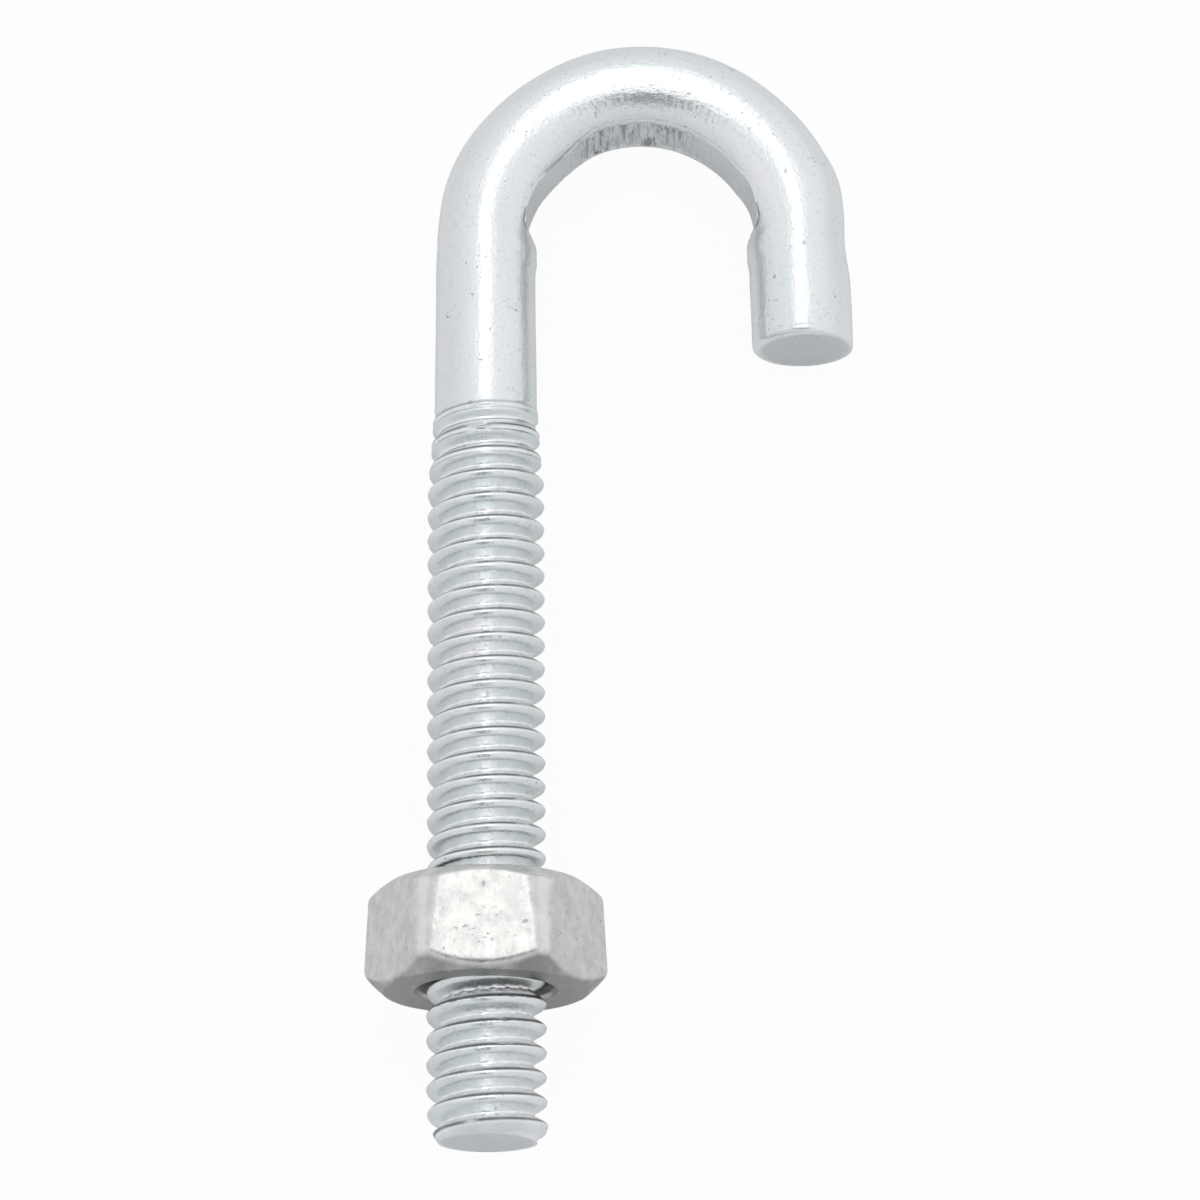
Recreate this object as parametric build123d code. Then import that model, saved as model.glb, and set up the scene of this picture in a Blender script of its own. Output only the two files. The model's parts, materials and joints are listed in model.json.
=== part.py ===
from build123d import *
import math
import os

# A steel J bolt with its hex nut: a round rod, rolled with a right-hand thread at one end
# and bent round a pin into an open hook at the other. All sizes are in millimetres.
# Both pieces are modelled upright, the free end at the origin and the hook towards +X,
# and are then laid down as they come to rest.

# Thread: a quarter-inch coarse thread, 20 turns to the inch
thread_major_diameter = 6.2
thread_pitch = 1.27
thread_length = 39.1
groove_depth = 0.38  # a shallow form of the thread, which keeps its crests and pitch
groove_mouth = 0.86
first_groove_height = 0.11  # where the groove starts, on the hook's side
runout_turns = 4  # turns over which the crests die away into the shank
end_chamfer_depth = 0.6
end_chamfer_length = 0.9

# Rod and hook
shank_diameter = 5.4
straight_length = 48.8  # free end to the start of the bend
bend_pin_diameter = 12.26  # pin that the rod is bent round
pin_bite = 0.47  # how far the pin flattens the inside of the bend
bite_overrun = 0.7  # how far past each end of the bend the flattening runs out
bite_ramp_angle = 20.6  # slope, to the rod's axis, by which it runs out
bend_angle = 178.8
leg_length = 6.5
tip_chamfer = 0.35

# Hex nut
nut_across_flats = 11.11
nut_thickness = 5.42
nut_position = 7.78  # free end of the bolt to the nut's outer face
nut_face_diameter = 10.3
nut_outer_chamfer_angle = 40.0
nut_inner_chamfer_angle = 36.0
nut_corner_radius_outer = 6.27  # half the width across the corners, by the outer face
nut_corner_radius_inner = 6.05  # the same by the hook-side face, where they fill less
nut_countersink_diameter = 7.4
nut_countersink_angle = 45.0
nut_clearance = 0.05  # radial, between the bore and the thread's crests

# Worked out from the sizes above
thread_radius = thread_major_diameter / 2
shank_radius = shank_diameter / 2
full_thread_end = thread_length - runout_turns * thread_pitch
bend_radius = bend_pin_diameter / 2 - pin_bite + shank_radius
nut_bore_radius = thread_radius + nut_clearance
nut_flat_distance = nut_across_flats / 2


def revolved(points):
    """Turns an outline of (radius, height) points into a solid round the Z axis."""
    return revolve(Plane.XZ * make_face(Polyline(*points, close=True)), axis=Axis.Z)


def thread_blank():
    """The threaded length before its groove: chamfered at the free end, tapering to the shank."""
    return revolved(
        [
            (0, 0),
            (thread_radius - end_chamfer_depth, 0),
            (thread_radius, end_chamfer_length),
            (thread_radius, full_thread_end),
            (shank_radius, thread_length),
            (0, thread_length),
        ]
    )


def thread_groove():
    """A right-hand helical groove, one piece for each turn; the taper runs it out."""
    turns = math.floor((thread_length - first_groove_height) / thread_pitch)
    overshoot = 1 + thread_major_diameter / 100  # carries the V past the crests
    tip = thread_radius - groove_depth
    mouth = tip + groove_depth * overshoot
    half_mouth = groove_mouth / 2 * overshoot
    pieces = []
    for turn in range(turns):
        height = first_groove_height + (turn - 1) * thread_pitch
        spine = Pos(0, 0, height) * Helix(thread_pitch, thread_pitch, thread_radius)
        corners = [(tip, height), (mouth, height + half_mouth), (mouth, height - half_mouth)]
        section = Plane.XZ * make_face(Polyline(*corners, close=True))
        pieces.append(sweep(section, path=spine, is_frenet=True))
    return pieces


def rod_path():
    """Centre line of the plain rod: shank, bend and the short leg beyond it."""
    with BuildLine(Plane.XZ) as line:
        shank = Line((0, thread_length), (0, straight_length))
        bend = JernArc(shank @ 1, shank % 1, bend_radius, -bend_angle)
        Line(bend @ 1, bend @ 1 + leg_length * (bend % 1))
    return line.line


def about_bend(forward, inward):
    """A point at each end of the bend, the second mirrored: a distance into the bend and inwards."""
    reach = math.hypot(bend_radius - inward, forward)
    turn = math.degrees(math.atan2(forward, bend_radius - inward))
    angles = (180 - turn, 180 - bend_angle + turn)
    return [(reach * math.cos(math.radians(a)), reach * math.sin(math.radians(a))) for a in angles]


def bending_pin():
    """The pin's imprint: its own round where it bit, ending in a ramp at each end of the bend."""
    ramp = math.tan(math.radians(bite_ramp_angle))
    run = 4 * bite_overrun
    start, end = about_bend(-bite_overrun, shank_radius)
    ramp_start, ramp_end = about_bend(run, shank_radius - (run + bite_overrun) * ramp)
    top = bend_radius + shank_diameter
    outline = [start, ramp_start, (-top, top), (top, top), ramp_end, end]
    sketch = Circle(bend_pin_diameter / 2) & make_face(Polyline(*outline, close=True))
    imprint = extrude(Plane.XZ * sketch, shank_diameter, both=True)
    return Pos(bend_radius, 0, straight_length) * imprint


def hooked_rod():
    """The plain rod with its hook, flattened inside the bend by the pin, and a blunt tip."""
    path = rod_path()
    rod = sweep(Plane(path @ 0, z_dir=path % 0) * Circle(shank_radius), path=path)
    tip = rod.faces().sort_by_distance(path @ 1)[0]
    rod = chamfer(tip.edges(), tip_chamfer)
    return rod - bending_pin()


def j_bolt():
    return (thread_blank() + hooked_rod()) - thread_groove()


def chamfer_drop(radius, angle):
    """How far below a nut's face its chamfer is, at a radius."""
    return (radius - nut_face_diameter / 2) * math.tan(math.radians(angle))


def nut_bore():
    """Plain bore with a countersink at each end."""
    mouth = nut_countersink_diameter / 2
    sink = (mouth - nut_bore_radius) / math.tan(math.radians(nut_countersink_angle))
    return revolved(
        [
            (0, 0),
            (mouth, 0),
            (nut_bore_radius, sink),
            (nut_bore_radius, nut_thickness - sink),
            (mouth, nut_thickness),
            (0, nut_thickness),
        ]
    )


def hex_nut():
    """Hexagon cut by a turned form, which chamfers both faces and blunts the corners."""
    face_radius = nut_face_diameter / 2
    outer_drop = chamfer_drop(nut_corner_radius_outer, nut_outer_chamfer_angle)
    inner_drop = chamfer_drop(nut_corner_radius_inner, nut_inner_chamfer_angle)
    turned = revolved(
        [
            (0, 0),
            (face_radius, 0),
            (nut_corner_radius_outer, outer_drop),
            (nut_corner_radius_inner, nut_thickness - inner_drop),
            (face_radius, nut_thickness),
            (0, nut_thickness),
        ]
    )
    hexagon = RegularPolygon(nut_flat_distance, 6, major_radius=False)
    nut = (extrude(hexagon, nut_thickness) & turned) - nut_bore()
    return Pos(0, 0, nut_position) * nut


def resting_tilt():
    """Angle in degrees by which the bolt leans, hook down, lying on the nut and the bend."""
    flat_end = nut_thickness - chamfer_drop(nut_flat_distance, nut_inner_chamfer_angle)
    reach = straight_length + bend_radius - nut_position - flat_end
    span = math.hypot(nut_flat_distance, reach)
    return math.degrees(math.acos(shank_radius / span) - math.atan2(reach, nut_flat_distance))


def laid_down(pieces):
    """Turns upright pieces so that they lie as at rest, centred over the origin."""
    turned = {name: Rot(X=-90 - resting_tilt()) * piece for name, piece in pieces.items()}
    box = Compound(list(turned.values())).bounding_box()
    middle = box.center()
    shift = Pos(-middle.X, -middle.Y, -box.min.Z)
    return {name: shift * piece for name, piece in turned.items()}


pieces = laid_down({"j_bolt": j_bolt(), "hex_nut": hex_nut()})
os.makedirs("parts", exist_ok=True)
for name, piece in pieces.items():
    export_step(piece, f"parts/{name}.step")
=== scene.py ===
import bpy
import json
import math
from mathutils import Matrix, Vector


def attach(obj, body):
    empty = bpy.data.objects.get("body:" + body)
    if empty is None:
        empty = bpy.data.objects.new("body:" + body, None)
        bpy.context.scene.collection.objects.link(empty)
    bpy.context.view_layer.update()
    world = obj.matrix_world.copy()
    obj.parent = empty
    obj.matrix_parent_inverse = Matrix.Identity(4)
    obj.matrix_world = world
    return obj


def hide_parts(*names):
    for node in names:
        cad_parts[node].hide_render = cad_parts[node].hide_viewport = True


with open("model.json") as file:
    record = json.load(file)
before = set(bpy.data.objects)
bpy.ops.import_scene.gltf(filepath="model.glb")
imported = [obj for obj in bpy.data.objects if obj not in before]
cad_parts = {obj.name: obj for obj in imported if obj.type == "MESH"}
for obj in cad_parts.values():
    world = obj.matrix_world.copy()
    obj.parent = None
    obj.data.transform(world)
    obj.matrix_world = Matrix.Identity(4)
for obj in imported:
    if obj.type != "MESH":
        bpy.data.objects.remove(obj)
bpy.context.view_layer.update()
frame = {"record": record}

scene = bpy.context.scene
scene.view_settings.view_transform = "Standard"

# Pieces are drawn in millimetres with the bolt upright, its free end at the origin
# and its hook towards +X, and are then laid where the frame has them.
threadMount = next(m for m in frame["record"]["mounts"] if m["name"] == "thread")
boltUp = -Vector(threadMount["axis"]).normalized()
boltSide = Vector((1, 0, 0))
boltBack = boltUp.cross(boltSide)
layDown = Matrix.Translation(Vector(threadMount["pos_m"]))
layDown @= Matrix((boltSide, boltBack, boltUp)).transposed().to_4x4()
millimetres = Matrix.Scale(0.001, 4)


class Num:  # a number in a node tree, written like an ordinary one
    def __init__(self, tree, socket):
        self.tree = tree
        self.socket = socket

    def math(self, operation, *others, clamp=False):
        node = self.tree.nodes.new("ShaderNodeMath")
        node.operation = operation
        node.use_clamp = clamp
        for slot, value in zip(node.inputs, (self, *others)):
            if isinstance(value, Num):
                self.tree.links.new(value.socket, slot)
            else:
                slot.default_value = value
        return Num(self.tree, node.outputs[0])

    def __add__(self, other):
        return self.math("ADD", other)

    def __sub__(self, other):
        return self.math("SUBTRACT", other)

    def __mul__(self, other):
        return self.math("MULTIPLY", other)

    def __truediv__(self, other):
        return self.math("DIVIDE", other)

    def __rsub__(self, other):
        return self.math("MULTIPLY_ADD", -1.0, other)

    __radd__ = __add__
    __rmul__ = __mul__

    def clamped(self):
        return self.math("ADD", 0.0, clamp=True)

    def ease(self, low, high):  # 0 below low, 1 above high, smooth between
        part = ((self - low) / (high - low)).clamped()
        return part * part * (3.0 - 2.0 * part)

    def bump(self, centre, reach):  # 1 at the centre, falling smoothly to 0 at reach
        part = (1.0 - ((self - centre) / reach).math("POWER", 2.0)).clamped()
        return part * part

    def marks(self, rows):  # the sum of several bumps, each with its centre, reach and amount
        return sum(self.bump(centre, reach) * amount for centre, reach, amount in rows)


def addNode(tree, kind, links=None, **settings):
    node = tree.nodes.new(kind)
    for name, value in settings.items():
        setattr(node, name, value)
    for name, value in (links or {}).items():
        if isinstance(value, Num):
            value = value.socket
        if isinstance(value, bpy.types.NodeSocket):
            tree.links.new(value, node.inputs[name])
        else:
            node.inputs[name].default_value = value
    return node


def vectorOf(tree, x, y, z):
    return addNode(tree, "ShaderNodeCombineXYZ", {"X": x, "Y": y, "Z": z}).outputs[0]


def noiseOf(tree, vector, scale, detail=3.0, roughness=0.5):
    links = {"Vector": vector, "Scale": scale, "Detail": detail, "Roughness": roughness}
    return Num(tree, addNode(tree, "ShaderNodeTexNoise", links).outputs[0])


def startTree(name, sizes):
    tree = bpy.data.node_groups.new(name, "GeometryNodeTree")
    for label, value in sizes.items():
        kind = "NodeSocketInt" if isinstance(value, int) else "NodeSocketFloat"
        tree.interface.new_socket(label, in_out="INPUT", socket_type=kind)
    tree.interface.new_socket("Material", in_out="INPUT", socket_type="NodeSocketMaterial")
    tree.interface.new_socket("Geometry", in_out="OUTPUT", socket_type="NodeSocketGeometry")
    start = tree.nodes.new("NodeGroupInput")
    return tree, {label: Num(tree, start.outputs[label]) for label in sizes}, start


def gridOf(tree, columns, rows):  # a flat sheet to be rolled up, and how far across and along it a vertex is
    grid = addNode(tree, "GeometryNodeMeshGrid", {"Vertices X": columns + 1, "Vertices Y": rows + 1})
    place = addNode(tree, "ShaderNodeSeparateXYZ",
                    {"Vector": tree.nodes.new("GeometryNodeInputPosition").outputs[0]})
    across = Num(tree, place.outputs["X"]) + 0.5
    along = Num(tree, place.outputs["Y"]) + 0.5
    return grid.outputs["Mesh"], across, along


def endTree(tree, start, mesh, place, attributes, weld=0.002):  # the weld closes the seam and the poles
    for name, (kind, value) in attributes.items():
        store = addNode(tree, "GeometryNodeStoreNamedAttribute", {"Geometry": mesh, "Name": name},
                        data_type=kind, domain="POINT")
        tree.links.new(value.socket if isinstance(value, Num) else value, store.inputs["Value"])
        mesh = store.outputs[0]
    mesh = addNode(tree, "GeometryNodeSetPosition", {"Geometry": mesh, "Position": place}).outputs[0]
    mesh = addNode(tree, "GeometryNodeMergeByDistance", {"Geometry": mesh, "Distance": weld}).outputs[0]
    mesh = addNode(tree, "GeometryNodeRealizeInstances", {"Geometry": mesh}).outputs[0]
    mesh = addNode(tree, "GeometryNodeSetMaterial",
                   {"Geometry": mesh, "Material": start.outputs["Material"]}).outputs[0]
    end = tree.nodes.new("NodeGroupOutput")
    tree.links.new(mesh, end.inputs["Geometry"])


def runTree(tree, sizes, material, name):
    maker = bpy.data.objects.new(name + "_maker", bpy.data.meshes.new(name + "_maker"))
    scene.collection.objects.link(maker)
    modifier = maker.modifiers.new(name, "NODES")
    modifier.node_group = tree
    for item in tree.interface.items_tree:
        if item.in_out == "INPUT":
            modifier[item.identifier] = material if item.name == "Material" else sizes[item.name]
    graph = bpy.context.evaluated_depsgraph_get()
    mesh = bpy.data.meshes.new_from_object(maker.evaluated_get(graph), depsgraph=graph)
    maker.modifiers.remove(modifier)
    bpy.data.objects.remove(maker)
    mesh.name = name
    mesh.transform(layDown @ millimetres)
    mesh.set_sharp_from_angle(angle=math.radians(38))  # smooth, but for real edges
    piece = bpy.data.objects.new(name, mesh)
    scene.collection.objects.link(piece)
    print(name, len(mesh.polygons), "faces")
    return piece


def colourMix(tree, factor, first, second):
    node = addNode(tree, "ShaderNodeMix", data_type="RGBA")
    tree.links.new(factor.socket, node.inputs["Factor"])
    for slot, colour in (("A", first), ("B", second)):
        socket = next(s for s in node.inputs if s.name == slot and s.type == "RGBA")
        if isinstance(colour, bpy.types.NodeSocket):
            tree.links.new(colour, socket)
        else:
            socket.default_value = (*colour, 1)
    return next(s for s in node.outputs if s.type == "RGBA")


def attributeOf(tree, name, output="Fac"):
    return addNode(tree, "ShaderNodeAttribute", attribute_name=name).outputs[output]


def threadShade(tree, coords, finish):  # painted shade along the upper flanks and the run-out's folds, the flanks that face the free end, and painted highlight along the crests and roots
    # places within one pitch run from 0 in the groove, over 0.5 on the crest, to 1 in the next groove
    place = addNode(tree, "ShaderNodeSeparateXYZ", {"Vector": coords})
    inward, sideways, distance = (Num(tree, place.outputs[axis]) for axis in "XYZ")
    part = (distance - finish["grooveStart"]) / finish["pitch"]
    part = (part - sideways.math("ARCTAN2", inward) / (2 * math.pi)).math("FRACT")
    uneven = noiseOf(tree, coords, 0.8, 2.0).ease(0.25, 0.5)
    # painted shade: dark lines along the run-out's folds and along the upper flanks next to the crests
    foldLines = (part * 2.0).math("FRACT").bump(0.86, 0.1) * distance.bump(*finish["foldsAt"]) * 0.8
    shaded = (part.bump(0.665, 0.1) + foldLines) * uneven
    # the flanks that face the free end: a teal tint of the plating with painted shade
    flank = part.bump(0.26, 0.22)
    # painted highlight: bright lines along the crests and the roots
    crest = part.bump(0.55, 0.08)
    root = (part - 0.5).math("ABSOLUTE").bump(0.5, 0.1)
    return shaded, flank, (crest + root).clamped()


def zincMaterial(name, finish):
    material = bpy.data.materials.new(name)
    material.use_nodes = True
    tree = material.node_tree
    shader = tree.nodes["Principled BSDF"]
    shader.inputs["Metallic"].default_value = 1.0
    coords = attributeOf(tree, "grainCoords", "Vector")
    spot = addNode(tree, "ShaderNodeTexCoord").outputs["Object"]
    # where the painted shade lines and the painted highlight go
    paintedLightZone = Num(tree, attributeOf(tree, "paintedLightZone"))
    # painted shade: the darkest colour goes into grooves, creases and the nut's bore
    paintedShadeMask = 1.0 - Num(tree, attributeOf(tree, "unshaded")).ease(0.0, 0.3)
    cut = Num(tree, attributeOf(tree, "cutFace"))

    # cloudiness drawn out along the rod, finer specks, and pits in patches
    stretch = (1.0, 1.0, finish["grainStretch"])
    drawn = addNode(tree, "ShaderNodeMapping", {"Vector": coords, "Scale": stretch}).outputs[0]
    cloud = noiseOf(tree, drawn, finish["cloudScale"], 4.0, 0.6)
    grain = noiseOf(tree, drawn, finish["grainScale"], 5.0, 0.65)
    fine = noiseOf(tree, spot, finish["speckScale"], 4.0, 0.6)
    patches = noiseOf(tree, spot, finish["pitScale"] * 0.18, 2.0).ease(0.42, 0.57)
    pit = noiseOf(tree, spot, finish["pitScale"], 3.0, 0.7).ease(0.63, 0.72) * patches
    tone = colourMix(tree, cloud.ease(0.3, 0.72), finish["shade"], finish["light"])
    tone = colourMix(tree, fine.ease(0.52, 0.78) * finish["speckAmount"], tone, finish["speck"])
    tone = colourMix(tree, pit * finish["pitAmount"], tone, finish["pit"])
    rough = finish["roughness"] + (grain - 0.5) * finish["roughnessSpread"] + pit * finish["pitRoughness"]

    if "pitch" in finish:  # the threaded length
        shaded, flank, highlightLines = threadShade(tree, coords, finish)
        # the painted shade lines, on the finished thread
        paintedShadeMask = paintedShadeMask.math("MAXIMUM", shaded * paintedLightZone)
        flank = flank * paintedLightZone
        # teal tint of the plating with painted shade, on the flanks that face the free end
        tone = colourMix(tree, flank * finish["flankTintAndShadeAmount"], tone, finish["flank"])
        rough = rough + flank * finish["flankRoughness"]
        paintedLightZone = paintedLightZone * highlightLines
    # painted highlight: near-white along the thread's crests and roots and the nut's ridges
    tone = colourMix(tree, paintedLightZone * finish["paintedHighlightAmount"], tone, finish["paintedHighlight"])
    # painted shade, in the darkest colour
    tone = colourMix(tree, paintedShadeMask * finish["paintedShadeAmount"], tone, finish["root"])
    # the bolt's cut ends are darker; on the nut the same mix puts painted shade on the faces and the outer
    # chamfer
    tone = colourMix(tree, cut * finish["cutAmount"], tone, finish["cut"])
    tree.links.new(tone, shader.inputs["Base Color"])
    rough = rough + paintedShadeMask * finish["rootRoughness"] + cut * finish["cutRoughness"]
    tree.links.new(rough.clamped().socket, shader.inputs["Roughness"])
    height = grain * finish["grainHeight"] + fine * finish["speckHeight"] - pit * finish["pitHeight"]
    bumps = {"Height": height, "Strength": finish["relief"], "Distance": 0.0001}  # a tenth of a millimetre
    relief = addNode(tree, "ShaderNodeBump", bumps)
    tree.links.new(relief.outputs[0], shader.inputs["Normal"])
    return material


flankSlope = 1.732  # of flanks that stand 60 degrees apart
flankLift = 0.03  # makes up for what the rounding takes off the crests


def threadForm(height, turn, size):  # radius of the thread's surface, and where that is within one pitch
    part = ((height - size["Groove Start"]) / size["Pitch"] - turn).math("FRACT")
    fromCrest = (2.0 * part - 1.0).math("ABSOLUTE")  # 0 on the crest, 1 in the groove
    fromFlat = fromCrest * size["Pitch"] * 0.5 - size["Crest Flat"]
    flank = size["Crest Radius"] + flankLift - fromFlat * flankSlope
    form = flank.math("SMOOTH_MIN", size["Crest Radius"], size["Crest Rounding"])
    form = form.math("SMOOTH_MAX", size["Root Radius"], size["Root Rounding"])
    return form, fromCrest, part


boltPiece = {
    "sizes": {  # millimetres, radians, and counts of rows
        "Crest Radius": 3.08, "Root Radius": 2.4, "Crest Flat": 0.15, "Crest Rounding": 0.42,
        "Root Rounding": 0.08, "Pitch": 1.27, "Groove Start": 0.11, "Thread Length": 39.3,
        "Runout Length": 4.5, "Seam Depth": 0.04, "Fold Depth": 0.14, "Ripple Depth": 0.022,
        "End Radius": 2.58, "End Slope": 0.66, "End Rounding": 0.12, "End Burr": 0.16, "End Shift": 0.1,
        "Shank Radius": 2.685, "Thread Swell": 0.03, "Runout Swell": 0.02, "Surface Waver": 0.024,
        "Straight Length": 48.8, "Bend Radius": 8.365, "Bend Angle": math.radians(178.8), "Bend Margin": 2.8,
        "Pin Radius": 6.13, "Pin Runout": 0.56, "Pin Edge": 0.04, "Pin Lump": 0.045, "Squash": 0.09,
        "Wrinkle Height": 0.14, "Leg Length": 6.5, "Tip Rounding": 0.16, "Tip Lip": 0.07,
        "Face Unevenness": 0.06, "Columns": 96, "Face Rows": 10, "Thread Rows": 580, "Shank Rows": 30,
        "Bend Rows": 300, "Leg Rows": 40,
    },
    # local changes of the pin's radius, and of how far the outside is thinned, each with its centre, its
    # reach and its amount: "bend" in radians round the bend, "ends" in millimetres into it from the
    # nearer end, "start" in millimetres on from its start, "leg" in millimetres back from its end
    "pinMarks": {
        "ends": [(1.6, 1.6, 0.08)], "leg": [(3.2, 1.6, 0.13)],
        "bend": [(0.8, 0.42, -0.265), (2.2, 0.5, -0.05)],
    },
    "thinMarks": {
        "start": [(0.4, 2.3, 0.025)], "leg": [(-0.4, 2.4, 0.065), (2.5, 1.2, -0.022), (-4.3, 2.4, -0.015)],
        "bend": [(0.85, 0.62, 0.07), (2.35, 0.5, 0.042), (0.2, 0.4, 0.03)],
    },
    "finish": {
        # of these colours the darkest is painted shade, the whitest painted highlight, and the teal one a
        # tint of the plating with painted shade
        "light": (0.915, 0.90, 0.91), "shade": (0.815, 0.85, 0.85), "speck": (0.66, 0.67, 0.68),
        "pit": (0.34, 0.35, 0.36), "root": (0.13, 0.14, 0.15), "cut": (0.62, 0.625, 0.63),
        "paintedHighlight": (0.985, 0.975, 0.98), "flank": (0.76, 0.80, 0.795),
        "speckAmount": 0.6, "pitAmount": 0.8, "paintedShadeAmount": 0.88, "cutAmount": 0.75,
        "paintedHighlightAmount": 0.9, "flankTintAndShadeAmount": 0.6,
        "roughness": 0.15, "roughnessSpread": 0.2, "pitRoughness": 0.2, "rootRoughness": 0.15,
        "cutRoughness": 0.3, "flankRoughness": 0.1,
        "pitch": 1.27, "grooveStart": 0.11, "foldsAt": (37.2, 2.6),
        "grainStretch": 0.14, "cloudScale": 0.55, "grainScale": 5.0, "speckScale": 4200.0, "pitScale": 2400.0,
        "grainHeight": 0.4, "speckHeight": 0.55, "pitHeight": 0.5, "relief": 0.42,
    },
}


def boltTree():
    tree, size, start = startTree("rolledBolt", boltPiece["sizes"])
    rows = size["Face Rows"] * 2 + size["Thread Rows"] + size["Shank Rows"]
    rows = rows + size["Bend Rows"] + size["Leg Rows"]
    mesh, turn, along = gridOf(tree, size["Columns"], rows)
    row = along * rows

    # rows become distance along the rod; the first and last rows close the end faces
    bendLength = size["Bend Radius"] * size["Bend Angle"]
    bendStart = size["Straight Length"] - size["Bend Margin"]
    bendEnd = size["Straight Length"] + bendLength + size["Bend Margin"]
    rodEnd = size["Straight Length"] + bendLength + size["Leg Length"]
    threadEnd = size["Thread Length"] + 0.2  # where the closely spaced rows end
    firstRing = 0.015  # how far from the end face the first full ring is
    openFace = (row / size["Face Rows"]).clamped()
    row = row - size["Face Rows"]
    distance = (row / size["Thread Rows"]).clamped() * (threadEnd - firstRing) + firstRing
    row = row - size["Thread Rows"]
    distance = distance + (row / size["Shank Rows"]).clamped() * (bendStart - threadEnd)
    row = row - size["Shank Rows"]
    distance = distance + (row / size["Bend Rows"]).clamped() * (bendEnd - bendStart)
    row = row - size["Bend Rows"]
    legPart = (row / size["Leg Rows"]).clamped()
    legPart = 1.0 - (1.0 - legPart).math("POWER", 1.6)  # closer rows by the tip
    distance = distance + legPart * (rodEnd - bendEnd)
    closeFace = 1.0 - ((row - size["Leg Rows"]) / size["Face Rows"]).clamped()
    faceScale = openFace * closeFace

    # how far round the bend, and the pin's radius there as its imprint shows it
    fromStraight = distance - size["Straight Length"]
    bent = (fromStraight / size["Bend Radius"]).math("MAXIMUM", 0.0).math("MINIMUM", size["Bend Angle"])
    toLeg = bendLength - fromStraight
    toTip = rodEnd - distance
    intoBend = fromStraight.math("MINIMUM", toLeg)
    pinMarks = boltPiece["pinMarks"]
    pin = size["Pin Radius"] - size["Pin Runout"] * (1.0 - intoBend.ease(-0.85, 0.55))
    pin = pin + intoBend.marks(pinMarks["ends"]) + bent.marks(pinMarks["bend"])
    pin = pin + toLeg.marks(pinMarks["leg"])

    # columns become the angle round the rod; in the bend one of them keeps to the imprint's edge
    half = 1.0 - (turn * 2.0 - 1.0).math("ABSOLUTE")  # 0 on the inside of the hook, 1 on its outside
    edgeAt = (size["Bend Radius"] - pin) / (size["Shank Radius"] * (1.0 + size["Squash"]))
    edgeAt = edgeAt.math("MINIMUM", 0.999).math("ARCCOSINE") / math.pi
    edgeAt = 0.25 + (edgeAt - 0.25) * intoBend.ease(-0.4, 0.3)
    pressedPart = (half * 4.0).math("MINIMUM", 1.0)
    freePart = (half - 0.25).math("MAXIMUM", 0.0) / 0.75
    half = pressedPart * edgeAt + freePart * (1.0 - edgeAt)
    angle = half * math.pi * (turn.math("LESS_THAN", 0.5) * 2.0 - 1.0)
    cosAngle, sinAngle = angle.math("COSINE"), angle.math("SINE")

    # thread, with a seam along its crests, and its run-out, with folds along the unfinished ones
    form, fromCrest, part = threadForm(distance, turn, size)
    formed = ((size["Thread Length"] - distance) / size["Runout Length"]).clamped()
    over = (form - size["Shank Radius"]).math("MAXIMUM", 0.0)
    under = (form - size["Shank Radius"]).math("MINIMUM", 0.0)
    fold = fromCrest.bump(0.0, 0.34) * formed.bump(0.45, 0.5) * size["Fold Depth"]
    seam = part.bump(0.44, 0.08) * formed.ease(0.0, 0.4) * size["Seam Depth"]
    fold = fold + seam * noiseOf(tree, vectorOf(tree, cosAngle, sinAngle, distance), 0.9).ease(0.3, 0.55)
    ripples = (part * (6 * math.pi)).math("SINE") + 0.6
    fold = fold + ripples * formed.bump(0.3, 0.36) * size["Ripple Depth"]
    nearThread = 1.0 - distance.ease(39.5, 46.0)
    swell = size["Thread Swell"] + (1.0 - formed) * size["Runout Swell"]
    radius = size["Shank Radius"] + nearThread * swell - fold
    radius = radius + over * formed.math("POWER", 0.6) + under * formed

    # the chamfered free end with its burr, the lip by the tip, and a slight waver all along
    endCone = size["End Radius"] + distance * size["End Slope"]
    radius = radius.math("SMOOTH_MIN", endCone, size["End Rounding"])
    lip = (0.0 - sinAngle).ease(0.75, 1.0) * toTip.bump(0.32, 0.28)
    burr = cosAngle.ease(0.8, 1.0) * distance.bump(0.3, 0.32)
    radius = radius + lip * size["Tip Lip"] + burr * size["End Burr"]
    waver = noiseOf(tree, vectorOf(tree, cosAngle, sinAngle, distance * 0.35), 1.3, 4.0, 0.6) - 1.0
    radius = radius + waver * size["Surface Waver"]

    # blunt tip: the edge is rounded, more on the inside of the hook than on the outside
    edge = size["Tip Rounding"] * (1.15 + cosAngle)
    tipPart = (1.0 - toTip / edge).clamped()
    radius = radius - edge * (1.0 - (1.0 - tipPart * tipPart).math("SQRT"))
    radius = radius * faceScale

    # the ring's own two directions: towards the inside of the bend, and across it
    inward = radius * cosAngle
    sideways = radius * sinAngle
    inside = inward.math("MAXIMUM", 0.0)
    outside = inward.math("MINIMUM", 0.0)
    lump = intoBend.bump(-1.0, 1.0) * size["Pin Lump"]  # metal pushed up past each end of the pin
    inward = inward + inside * (intoBend.ease(-0.4, 2.0) * size["Squash"] + lump)
    # the outside of the bend is stretched thinner at its shoulders
    thinMarks = boltPiece["thinMarks"]
    thinned = bent.marks(thinMarks["bend"]) + fromStraight.marks(thinMarks["start"])
    inward = inward - outside * (thinned + toLeg.marks(thinMarks["leg"]))
    straight = distance.math("MINIMUM", size["Straight Length"])
    leg = (fromStraight - bendLength).math("MAXIMUM", 0.0)
    sinBent, cosBent = bent.math("SINE"), bent.math("COSINE")
    x = size["Bend Radius"] * (1.0 - cosBent) + leg * sinBent + inward * cosBent
    z = straight + size["Bend Radius"] * sinBent + leg * cosBent - inward * sinBent

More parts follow.
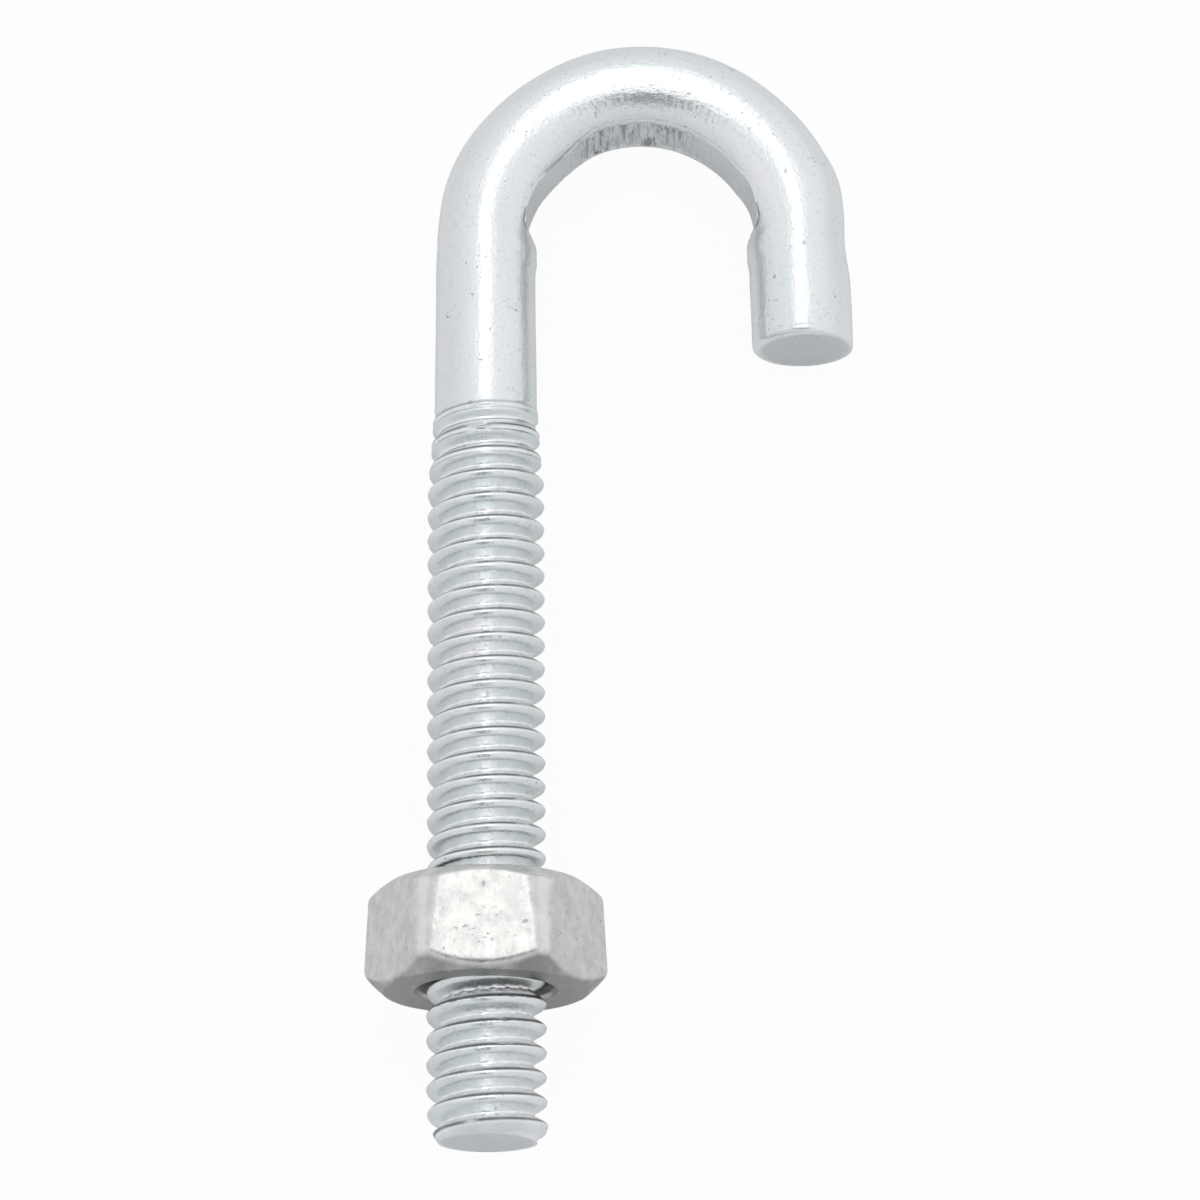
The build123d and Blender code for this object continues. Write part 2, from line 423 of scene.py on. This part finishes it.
    # the pin flattens whatever comes nearer to its centre than its own radius
    fromX = x - size["Bend Radius"]
    fromZ = z - size["Straight Length"]
    reach = (fromX * fromX + fromZ * fromZ).math("SQRT")
    pressed = reach.math("SMOOTH_MAX", pin, 0.02)
    pressed = pressed + (reach - pin).bump(0.1, 0.1) * size["Pin Edge"]  # a fine groove where it stopped
    bitten = (pressed - reach).ease(0.0, 0.2)
    creaseAt = vectorOf(tree, distance * 3.4, sideways * 0.35, 0.0)
    crease = noiseOf(tree, creaseAt, 1.0, 2.0, 0.6).ease(0.42, 0.6)
    wrinkled = bitten * distance.ease(54.0, 58.0) * (1.0 - distance.ease(64.5, 69.0))
    pressed = pressed + crease * wrinkled * size["Wrinkle Height"]
    # painted shade: darker along the pin's edge and in the troughs between the wrinkles
    paintedCreaseShade = (reach - pin).bump(0.08, 0.18) * intoBend.ease(-0.8, 0.2)
    paintedCreaseShade = paintedCreaseShade + wrinkled * (1.0 - crease) * 0.9
    x = size["Bend Radius"] + fromX * pressed / reach
    z = size["Straight Length"] + fromZ * pressed / reach

    # uneven end faces; the cut that parted the rod pushed its free end a little aside
    faceMark = noiseOf(tree, vectorOf(tree, inward, sideways * 0.4, openFace), 1.6, 4.0, 0.6)
    z = z + faceMark * (2.0 - openFace - closeFace) * size["Face Unevenness"]
    x = x + (1.0 - distance.ease(0.0, 3.0)) * size["End Shift"]

    attributes = {
        "unshaded": ("FLOAT", (1.0 - paintedCreaseShade).clamped()),  # 0 where shade is painted: along the pin's edge and in the wrinkles' troughs
        # the finished thread, where the painted shade lines and painted highlight go
        "paintedLightZone": ("FLOAT", formed.ease(0.0, 0.25) * faceScale.ease(0.9, 1.0)),
        "cutFace": ("FLOAT", (1.0 - faceScale).ease(0.0, 0.12)),
        "grainCoords": ("FLOAT_VECTOR", vectorOf(tree, inward, sideways, distance)),
    }
    place = vectorOf(tree, x, sideways, z)
    endTree(tree, start, mesh, place, attributes)
    return tree


boltZinc = zincMaterial("boltZinc", boltPiece["finish"])
bolt = runTree(boltTree(), boltPiece["sizes"], boltZinc, "j_bolt_rolled")
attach(bolt, "bolt")
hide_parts("j_bolt")


nutPiece = {
    "sizes": {  # millimetres, slopes of the chamfers, and counts of rows
        "Flat Radius": 5.555, "Height": 5.42, "Position": 7.78, "Outer Face": 5.3, "Inner Face": 5.1,
        "Outer Corner": 6.27, "Inner Corner": 5.98, "Outer Chamfer": math.tan(math.radians(42)),
        "Inner Chamfer": math.tan(math.radians(36)), "Countersink": 3.7, "Sink Rounding": 0.08,
        "Corner Rounding": 0.05, "Outer Rounding": 0.42, "Inner Rounding": 0.3,
        "Pitch": 1.27, "Groove Start": 0.11, "Crest Radius": 3.17, "Root Radius": 2.54,
        "Crest Flat": 0.2, "Crest Rounding": 0.1, "Root Rounding": 0.1, "Forging": 0.035,
        "Columns": 240, "Bore Rows": 104, "Face Rows": 12, "Side Rows": 96,
    },
    "finish": {
        # of these colours the darkest is painted shade, the palest painted highlight on the ridges, and the
        # dark warm grey one painted shade on the faces and the outer chamfer
        "light": (0.80, 0.787, 0.76), "shade": (0.65, 0.64, 0.625), "speck": (0.46, 0.46, 0.45),
        "pit": (0.26, 0.26, 0.26), "root": (0.08, 0.08, 0.08), "cut": (0.27, 0.265, 0.25),
        "paintedHighlight": (0.9, 0.89, 0.87),
        "speckAmount": 0.6, "pitAmount": 0.4, "paintedShadeAmount": 0.9, "cutAmount": 0.85, "paintedHighlightAmount": 0.6,
        "roughness": 0.22, "roughnessSpread": 0.25, "pitRoughness": 0.2, "rootRoughness": 0.1,
        "cutRoughness": 0.1,
        "grainStretch": 0.8, "cloudScale": 1.5, "grainScale": 2.2, "speckScale": 2600.0, "pitScale": 1900.0,
        "grainHeight": 0.5, "speckHeight": 0.5, "pitHeight": 0.4, "relief": 0.42,
    },
}


def nutTree():
    tree, size, start = startTree("hexNut", nutPiece["sizes"])
    rows = size["Bore Rows"] + size["Side Rows"] + size["Face Rows"] * 2
    mesh, turn, along = gridOf(tree, size["Columns"], rows)
    mesh = addNode(tree, "GeometryNodeFlipFaces", {"Mesh": mesh}).outputs[0]  # so that they point outwards
    angle = turn * (2 * math.pi)
    cosAngle, sinAngle = angle.math("COSINE"), angle.math("SINE")
    row = along * rows

    # up the bore, out over the hook-side face, down the flats and in under the outer face
    up = (row / size["Bore Rows"]).clamped()
    row = row - size["Bore Rows"]
    out = (row / size["Face Rows"]).clamped()
    row = row - size["Face Rows"]
    down = (row / size["Side Rows"]).clamped()
    down = 0.6 * down + 0.4 * (0.5 - 0.5 * (down * math.pi).math("COSINE"))  # closer rows by the chamfers
    row = row - size["Side Rows"]
    back = (row / size["Face Rows"]).clamped()
    height = size["Height"] * (up - down)

    # internal thread, which follows the bolt's, opened by a countersink at each end
    form = threadForm(height + size["Position"], turn, size)[0]
    lower = size["Countersink"] - height
    upper = size["Countersink"] - size["Height"] + height
    bore = form.math("SMOOTH_MAX", lower.math("MAXIMUM", upper), size["Sink Rounding"])

    # six flats, blunted by a cone at each face and by a slight cone round the corners
    sixth = math.pi / 3
    offFlat = ((turn * 6.0).math("FRACT") - 0.5) * sixth
    flats = size["Flat Radius"] / offFlat.math("COSINE")
    part = height / size["Height"]
    corner = size["Outer Corner"] + (size["Inner Corner"] - size["Outer Corner"]) * part
    coneBelow = size["Outer Face"] + height / size["Outer Chamfer"]
    coneAbove = size["Inner Face"] + (size["Height"] - height) / size["Inner Chamfer"]
    prism = flats.math("SMOOTH_MIN", corner, size["Corner Rounding"])
    side = prism.math("SMOOTH_MIN", coneBelow, size["Outer Rounding"])
    chamfered = (prism - side).ease(0.06, 0.3) * (1.0 - part.ease(0.3, 0.5))
    side = side.math("SMOOTH_MIN", coneAbove, size["Inner Rounding"])
    dentAt = vectorOf(tree, cosAngle * 5.5, sinAngle * 5.5, height)
    dent = noiseOf(tree, dentAt, 0.55, 4.0, 0.6) - 0.5
    side = side + (dent - 0.25) * size["Forging"] * (1.0 + (1.0 - part.ease(0.0, 0.5)) * 1.2)

    radius = bore + (side - bore) * (out - back)
    place = vectorOf(tree, radius * cosAngle, radius * sinAngle, size["Position"] + height)

    # painted shade darkens the bore deeper in, painted highlight brightens the ridges between the flats, and
    # the faces and the outer chamfer are duller and darkened with painted shade
    inBore = 1.0 - out + back.ease(0.9, 1.0)
    # painted shade, darker deeper in the bore
    unshaded = 1.0 - inBore * ((size["Countersink"] + 0.1 - radius) * 2.6).clamped()
    # painted highlight on the ridges between the flats
    ridge = offFlat.math("ABSOLUTE").ease(0.455, 0.5) * (1.0 - chamfered) * (out - back)
    onFace = (out * (1.0 - back)).bump(0.5, 0.5) + back * (1.0 - back) * 4.0
    # painted shade on the faces and, blotchy along the dents, on the outer chamfer
    dullAndShaded = onFace * 0.55 + chamfered * (0.55 + dent.ease(-0.2, 0.2) * 0.6)
    attributes = {
        "unshaded": ("FLOAT", unshaded.clamped()),
        "paintedLightZone": ("FLOAT", ridge),
        "cutFace": ("FLOAT", dullAndShaded.clamped()),
        "grainCoords": ("FLOAT_VECTOR", place),
    }
    endTree(tree, start, mesh, place, attributes)
    return tree


nutZinc = zincMaterial("nutZinc", nutPiece["finish"])
nut = runTree(nutTree(), nutPiece["sizes"], nutZinc, "hex_nut_forged")
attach(nut, "nut")
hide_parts("hex_nut")


floorLook = {"size": 1.6, "colour": (0.86, 0.86, 0.86), "seen": 0.95, "mirrored": 0.1}  # size in metres


def makeFloor():
    half = floorLook["size"] / 2
    mesh = bpy.data.meshes.new("floor")
    corners = [(-half, -half, 0), (half, -half, 0), (half, half, 0), (-half, half, 0)]
    mesh.from_pydata(corners, [], [(0, 1, 2, 3)])
    floor = bpy.data.objects.new("floor", mesh)
    scene.collection.objects.link(floor)
    material = bpy.data.materials.new("paleFloor")
    material.use_nodes = True
    tree = material.node_tree
    tree.nodes.remove(tree.nodes["Principled BSDF"])
    paint = addNode(tree, "ShaderNodeBsdfDiffuse", {"Color": (*floorLook["colour"], 1)})
    glow = addNode(tree, "ShaderNodeEmission", {"Color": (1, 1, 1, 1), "Strength": 1.0})
    path = tree.nodes.new("ShaderNodeLightPath")
    seen = Num(tree, path.outputs["Is Camera Ray"]) * floorLook["seen"]
    seen = seen + Num(tree, path.outputs["Is Glossy Ray"]) * floorLook["mirrored"]
    seen = seen + Num(tree, path.outputs["Is Transmission Ray"]) * floorLook["seen"]
    blend = addNode(tree, "ShaderNodeMixShader", {"Fac": seen.clamped()})
    tree.links.new(paint.outputs[0], blend.inputs[1])
    tree.links.new(glow.outputs[0], blend.inputs[2])
    tree.links.new(blend.outputs[0], tree.nodes["Material Output"].inputs["Surface"])
    mesh.materials.append(material)


makeFloor()
print("floor laid")


studio = {  # angles in degrees, places in metres, radiances as a white sheet would show them
    "tint": (0.955, 0.985, 1.01), "ambient": 0.735, "bottom": 0.08, "broadLobe": 0.2,
    "lobe": {"across": 6.0, "up": 24.0},
    "opening": {"across": -2.0, "up": -18.0, "reach": 19.0, "core": 4.75, "depth": 0.62},
    "key": {
        "radiance": 0.42, "colour": (1.0, 0.985, 0.96), "centre": (0.0, 0.20, 0.375), "size": (0.15, 0.42),
    },
}


def towards(across, up):  # a direction from the object; 0, 0 is straight out from its front
    across, up = math.radians(across), math.radians(up)
    level = math.cos(up)
    return layDown.to_3x3() @ Vector((level * math.sin(across), -level * math.cos(across), math.sin(up)))


def alongRay(tree, ray, direction):  # cosine of the angle between the ray and a direction
    node = addNode(tree, "ShaderNodeVectorMath", {0: ray, 1: direction}, operation="DOT_PRODUCT")
    return Num(tree, node.outputs["Value"])


def makeWorld():  # a white tent, brightest in front, with the dark opening that the lens looks through
    world = bpy.data.worlds.new("studio")
    scene.world = world
    world.use_nodes = True
    tree = world.node_tree
    ray = tree.nodes.new("ShaderNodeTexCoord").outputs["Generated"]
    lobe, opening = studio["lobe"], studio["opening"]
    facing = alongRay(tree, ray, towards(lobe["across"], lobe["up"])).math("MAXIMUM", 0.0)
    below = alongRay(tree, ray, towards(0.0, -90.0)).math("MAXIMUM", 0.0)
    rim, core = (math.cos(math.radians(opening[edge])) for edge in ("reach", "core"))
    dark = alongRay(tree, ray, towards(opening["across"], opening["up"])).ease(rim, core)
    level = studio["ambient"] + facing.math("POWER", 0.8) * studio["broadLobe"] - below * studio["bottom"]
    level = level - dark * opening["depth"]
    path = tree.nodes.new("ShaderNodeLightPath")
    seen = Num(tree, path.outputs["Is Camera Ray"]) + Num(tree, path.outputs["Is Transmission Ray"])
    seen = seen.clamped()
    background = tree.nodes["Background"]
    tree.links.new(colourMix(tree, seen, studio["tint"], (1.0, 1.0, 1.0)), background.inputs["Color"])
    tree.links.new((level + (1.0 - level) * seen).socket, background.inputs["Strength"])


def makeLamp():
    key = studio["key"]
    lamp = bpy.data.lights.new("keyLight", "AREA")
    lamp.shape = "RECTANGLE"
    lamp.size, lamp.size_y = key["size"]
    lamp.color = key["colour"]
    lamp.energy = key["radiance"] * 4 * lamp.size * lamp.size_y
    holder = bpy.data.objects.new("keyLight", lamp)
    holder.location = key["centre"]
    holder.rotation_mode = "QUATERNION"
    holder.rotation_quaternion = (-Vector(key["centre"])).to_track_quat("-Z", "Y")
    holder.visible_camera = False
    scene.collection.objects.link(holder)


makeWorld()
makeLamp()
print("lights up")


# lens and place in millimetres, the place as from the upright bolt; angles in degrees
cameraView = {"lens": 141.4, "place": (5.978, -235.05, -45.046), "pitch": 17.407, "roll": -0.487}


def makeCamera():
    camera = bpy.data.cameras.new("camera")
    camera.lens = cameraView["lens"]
    camera.sensor_width = 36.0
    camera.clip_start = 0.01
    holder = bpy.data.objects.new("camera", camera)
    scene.collection.objects.link(holder)
    turn = Matrix.Rotation(math.radians(90 + cameraView["pitch"]), 4, "X")
    turn @= Matrix.Rotation(math.radians(cameraView["roll"]), 4, "Z")
    holder.matrix_world = layDown @ Matrix.Translation(Vector(cameraView["place"]) * 0.001) @ turn
    scene.camera = holder


makeCamera()
print("camera set")
